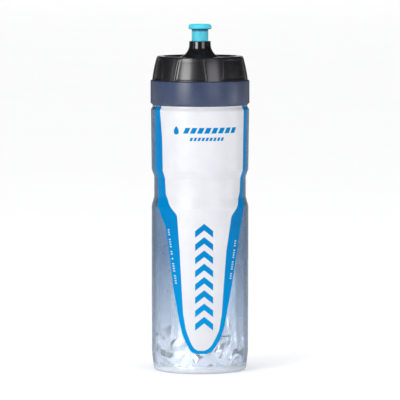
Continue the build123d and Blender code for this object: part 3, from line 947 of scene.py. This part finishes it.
def make_cap_line():
    """Closed outline of the cap's moulding: side, crest, dish, spout, bores and skirt."""
    side = FLANK[1:-2]
    over = rounded([
        (*side[-1], 0),
        (CREST_R, CREST_Z, 0.9 * MM),
        (27.7 * MM, CREST_Z, 0.8 * MM),
        (26.6 * MM, DISH_Z, 0.6 * MM),
        (SPOUT_R + 0.35 * MM, DISH_Z, 9 * MM),
        (SPOUT_R, SPOUT_TOP, 0.5 * MM),
        (STOP_R, SPOUT_TOP, 0.25 * MM),
        (STOP_R, STOP_UNDER, 0.1 * MM),
        (VALVE_R, STOP_UNDER, 0.05 * MM),
        (VALVE_R, SPIDER_TOP, 0.1 * MM),
        (WAY_R, SPIDER_TOP, 0.1 * MM),
        (WAY_R, SPIDER_LOW, 0.1 * MM),
        (WAY_R + 3.3 * MM, ROOF_UNDER, 0.2 * MM),
        (RING_BORE, ROOF_UNDER, 0.3 * MM),
        (RING_BORE, NECK_TOP - 3 * MM, 0.3 * MM),
        (RING_OUT, NECK_TOP - 3 * MM, 0.3 * MM),
        (RING_OUT, ROOF_UNDER, 0.05 * MM),
        (SEAT_R, ROOF_UNDER, 0.05 * MM),
        (SEAT_R, SEAT_Z, 0.1 * MM),
        (CAP_BORE, SEAT_Z, 0.1 * MM),
        (CAP_BORE, CAP_LOW, 0.3 * MM),
        (CAP_R, CAP_LOW, 0.25 * MM),
        (*side[0], 0),
    ], 6)
    return [Vector(p) for p in side] + over[1:-1]


add_piece(
    "cap_moulding", lathe(make_cap_line(), grip_columns(), loop=True, shape=gripped),
    "cap", CAP_BLACK, ["cap"], sharp=24,
)


def screw_thread(root, crest, start_z, start, turns, steps=150):
    """A thread as a closed ridge that fades in and out at its ends."""
    root_half, crest_half, sink = 1.625 * MM, 0.875 * MM, 0.3 * MM
    out = 1 if crest > root else -1
    verts, faces = [], []
    for k in range(steps + 1):
        share = k / steps
        a = start + 2 * math.pi * turns * share
        z = start_z + THREAD_LEAD * turns * share
        grown = ease(min(share, 1 - share), 0.0, 0.06)
        tip = root + (crest - root) * max(grown, 0.02)
        for r, h in ((root - out * sink, root_half), (root, root_half), (tip, crest_half),
                     (tip, -crest_half), (root, -root_half), (root - out * sink, -root_half)):
            verts.append(at(a, r, z + h))
    for k in range(steps):
        for i in range(6):
            n = (i + 1) % 6
            faces.append((6 * k + i, 6 * k + n, 6 * k + 6 + n, 6 * k + 6 + i))
    faces.append((5, 4, 3, 2, 1, 0))
    faces.append(tuple(6 * steps + i for i in range(6)))
    return verts, faces


# the cap's ridge starts half a turn round from the neck's, so that each runs in the other's gap
CAP_THREAD_Z, NECK_THREAD_Z = CAP_LOW + 2.025 * MM, COLLAR_TOP + 2.9 * MM
THREAD_TURN = (CAP_THREAD_Z - NECK_THREAD_Z) / THREAD_LEAD + 0.5
THREAD_START = math.pi / 2 + 2 * math.pi * THREAD_TURN
add_piece(
    "cap_thread",
    screw_thread(CAP_BORE, CAP_BORE - 1.3 * MM, CAP_THREAD_Z, THREAD_START, 1.1),
    "cap", CAP_BLACK, ["cap"], sharp=30,
)


def make_post():
    """The post that plugs the mouthpiece, on the four arms of its spider."""
    post = lathe(rounded([
        (0, SPIDER_LOW, 0), (POST_R, SPIDER_LOW, 0.2 * MM), (POST_R, PLUG_LOW, 0.3 * MM),
        (PLUG_R, PLUG_LOW, 0.2 * MM), (PLUG_R, POST_TOP, 0.6 * MM), (0, POST_TOP, 0),
    ], 5), 64)
    shapes = [post]
    for k in range(4):
        turn = math.pi / 2 * k
        verts = []
        for z in (SPIDER_LOW, SPIDER_TOP):
            for along, across in ((1.2, -0.9), (6.3, -0.9), (6.3, 0.9), (1.2, 0.9)):
                spot = Vector((along * MM, across * MM))
                verts.append((
                    spot.x * math.cos(turn) - spot.y * math.sin(turn),
                    spot.x * math.sin(turn) + spot.y * math.cos(turn), z,
                ))
        shapes.append((verts, [
            (3, 2, 1, 0), (4, 5, 6, 7), (0, 1, 5, 4), (1, 2, 6, 5), (2, 3, 7, 6), (3, 0, 4, 7),
        ]))
    return merged(*shapes)


add_piece("valve_post", make_post(), "cap", CAP_BLACK, ["cap"])

# ================================================================ mouthpiece

mouth_line = rounded([
    (CORE_R, (SHANK_LOW + LIP_LOW) / 2, 0),
    (CORE_R, SHANK_LOW, 0.1 * MM),
    (SHANK_R, SHANK_LOW, 0.15 * MM),
    (SHANK_R, LIP_LOW, 0.5 * MM),
    (LIP_R, LIP_LOW, 1.1 * MM),
    (LIP_R, LIP_TOP, 2.1 * MM),
    (HOLE_R, LIP_TOP, 0.4 * MM),
    (HOLE_R, LIP_LOW, 0.1 * MM),
    (CORE_R, LIP_LOW, 0.1 * MM),
    (CORE_R, (SHANK_LOW + LIP_LOW) / 2, 0),
], 10)[:-1]
add_piece(
    "soft_mouthpiece", lathe(mouth_line, 128, loop=True), "valve",
    SKY_RUBBER, ["mouthpiece"],
)

# ================================================================ camera, floor, lights

scene = bpy.context.scene
scene.view_settings.view_transform = "Standard"
scene.view_settings.look = "None"
scene.view_settings.exposure = 0.0

CAMERA_FAR = 3.2
CAMERA_TILT = math.radians(4.2)
CAMERA_AIM = 126.9 * MM         # height on the bottle's axis at the middle of the view
FRAME_SIDE = 298.0 * MM         # what the view takes in, side to side, at the axis
SENSOR = 36.0

camera_data = bpy.data.cameras.new("camera")
camera_data.sensor_width = SENSOR
camera_data.lens = SENSOR * CAMERA_FAR / FRAME_SIDE
camera = bpy.data.objects.new("camera", camera_data)
scene.collection.objects.link(camera)
camera.location = (
    0.0, -CAMERA_FAR * math.cos(CAMERA_TILT), CAMERA_AIM + CAMERA_FAR * math.sin(CAMERA_TILT)
)
camera.rotation_euler = (math.radians(90) - CAMERA_TILT, 0.0, 0.0)
scene.camera = camera


LIGHT_AIM = Vector((0, 0, 0.13))


def softbox(name, azimuth, height, distance, width, tall, power, color=(1, 1, 1)):
    """A soft rectangular light, its azimuth in degrees to the right of the camera."""
    data = bpy.data.lights.new(name, "AREA")
    data.shape = "RECTANGLE"
    data.size, data.size_y = width, tall
    data.energy = power
    data.color = color
    light = bpy.data.objects.new(name, data)
    a = math.radians(azimuth)
    light.location = (distance * math.sin(a), -distance * math.cos(a), height)
    light.rotation_euler = (LIGHT_AIM - light.location).to_track_quat("-Z", "Y").to_euler()
    light.visible_camera = False
    scene.collection.objects.link(light)


softbox("key_softbox", -36, 0.53, 1.5, 0.62, 0.80, 12.6)
softbox("low_strip", -49, 0.20, 1.5, 0.10, 0.13, 0.6)
softbox("side_strip", -72, 0.58, 1.5, 0.12, 0.5, 0.45)
softbox("fill_softbox", 33, 0.55, 1.6, 0.75, 0.76, 5.4, color=(0.97, 0.93, 1.0))
softbox("right_panel", 84, 0.12, 1.5, 0.6, 0.3, 2.0, color=(0.97, 0.98, 1.0))

sun_data = bpy.data.lights.new("overhead", "SUN")
sun_data.energy = 3.1
sun_data.angle = math.radians(75)
sun = bpy.data.objects.new("overhead", sun_data)
sun.visible_glossy = False
scene.collection.objects.link(sun)

world = bpy.data.worlds.new("studio")
scene.world = world
world.use_nodes = True
backdrop = world.node_tree.nodes["Background"].inputs
backdrop["Color"].default_value = (0.96, 0.98, 1.0, 1)
# white behind the bottle, but dim as a light and dimmer still in reflections
sky = Wiring(world.node_tree)
path = sky.put("LightPath").outputs
dim = sky.scaled(path["Is Glossy Ray"], 0.0, 1.0, 0.06, 0.012)
sky.join(sky.math("ADD", dim, path["Is Camera Ray"]), backdrop["Strength"])


def make_floor():
    """A wide pale floor with a low sweep far behind."""
    half, bend, steps = 14.0, 2.4, 14
    line = [(0.0, 0.0), (half - bend, 0.0)]
    for k in range(1, steps + 1):
        a = math.pi / 2 * k / steps
        line.append((half - bend + bend * math.sin(a), bend - bend * math.cos(a)))
    line = [(-half, 0.0)] + line
    verts = [(x, y, z) for y, z in line for x in (-half, half)]
    faces = [(2 * k, 2 * k + 1, 2 * k + 3, 2 * k + 2) for k in range(len(line) - 1)]
    mesh = bpy.data.meshes.new("floor")
    mesh.from_pydata(verts, [], faces)
    mesh.shade_smooth()
    floor = bpy.data.objects.new("floor", mesh)
    scene.collection.objects.link(floor)
    paint, w, shader = new_finish("pale_floor", Roughness=0.9, Specular_IOR_Level=0.1)
    mottle = w.noise(w.put("TexCoord").outputs["Object"], 3.0)
    colour = w.mix(mottle, (0.95, 0.95, 0.95, 1), (0.93, 0.93, 0.935, 1))
    w.join(colour, shader.inputs["Base Color"])
    mesh.materials.append(paint)


make_floor()
